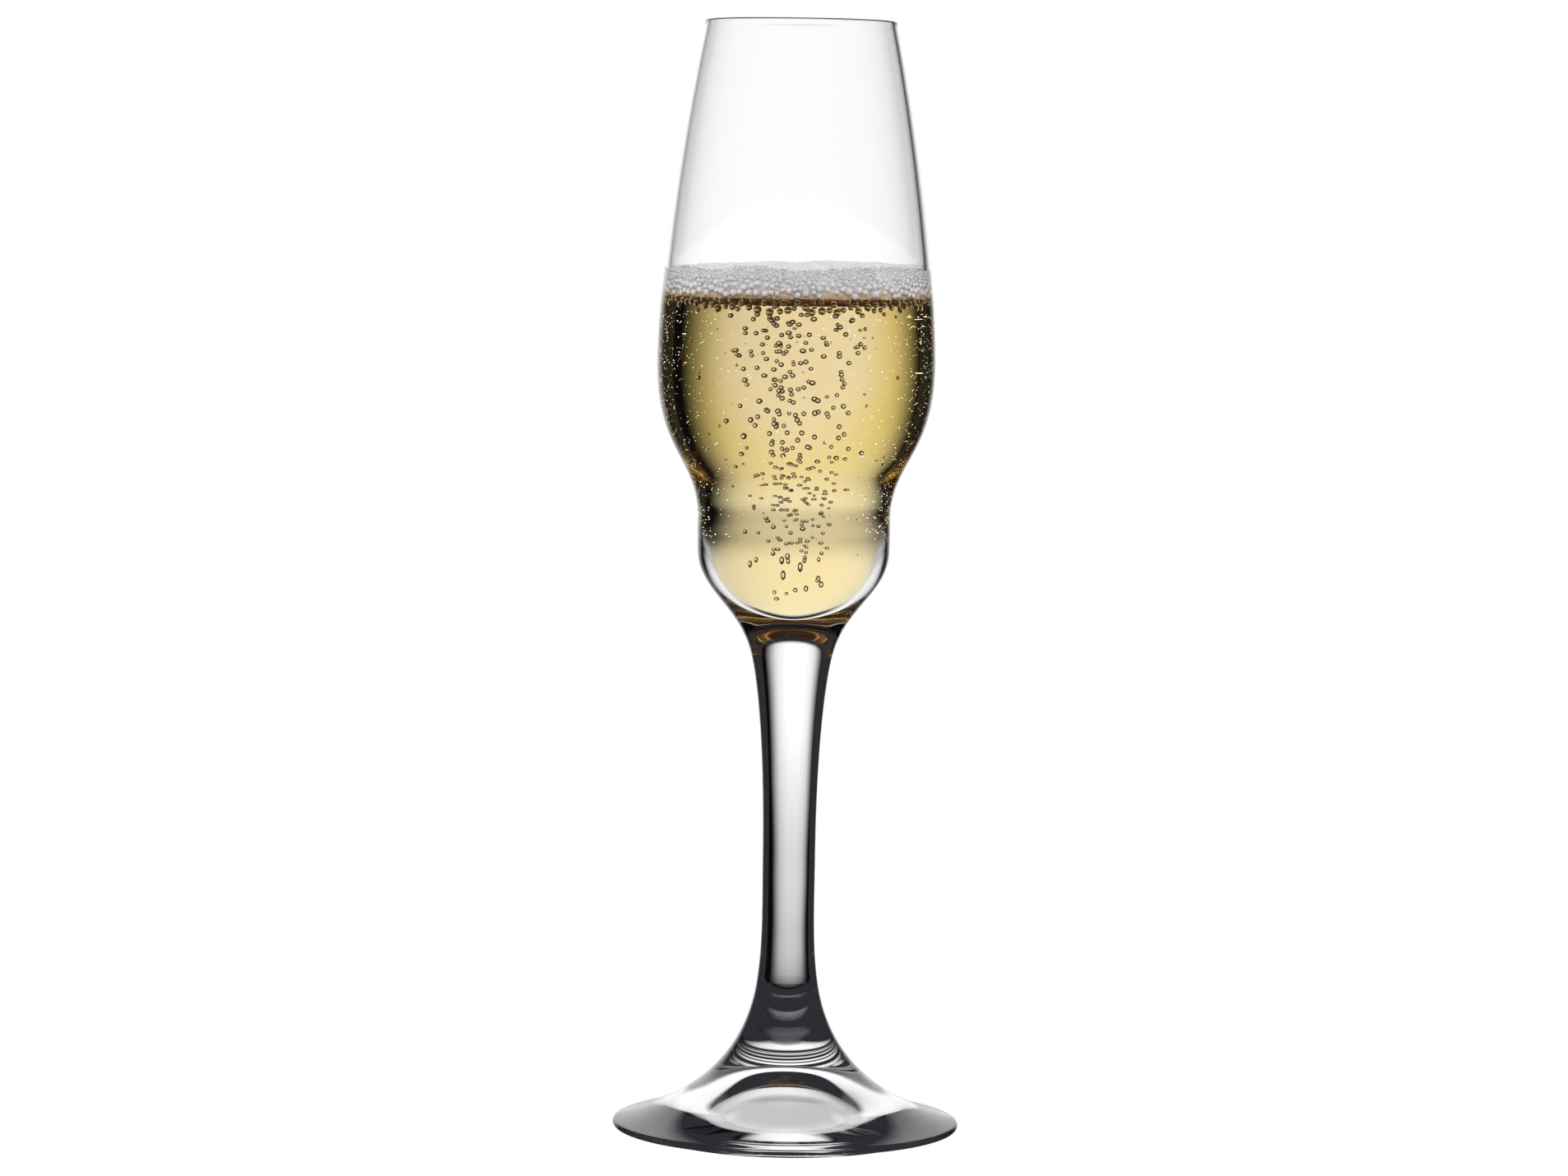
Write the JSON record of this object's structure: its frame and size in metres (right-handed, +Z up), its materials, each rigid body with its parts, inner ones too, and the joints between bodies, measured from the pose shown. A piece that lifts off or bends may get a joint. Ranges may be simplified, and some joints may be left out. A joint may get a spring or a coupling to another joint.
{
  "type": "champagne flute",
  "caption": "Tall stemmed glass with a tapering belly, a thick waisted cup, a solid stem and a flared foot, filled with sparkling wine and its foam.",
  "frame": {"origin": "centre of the foot's standing ring, on the surface that the glass stands on", "axes": "+Z up along the axis of the glass, from the foot to the rim; the glass is round, so X and Y are any two square directions"},
  "size_m": [0.07, 0.07, 0.225],
  "materials": {
    "clear_glass": "clear colourless glass, fire polished",
    "sparkling_wine": "clear pale gold liquid with gas bubbles",
    "wine_foam": "wet white foam of fine bubbles, larger and browner towards the wine"
  },
  "bodies": {
    "root": {"foot": "clear_glass", "stem": "clear_glass", "bowl": "clear_glass", "wine": "sparkling_wine", "foam": "wine_foam"}
  },
  "joints": []
}
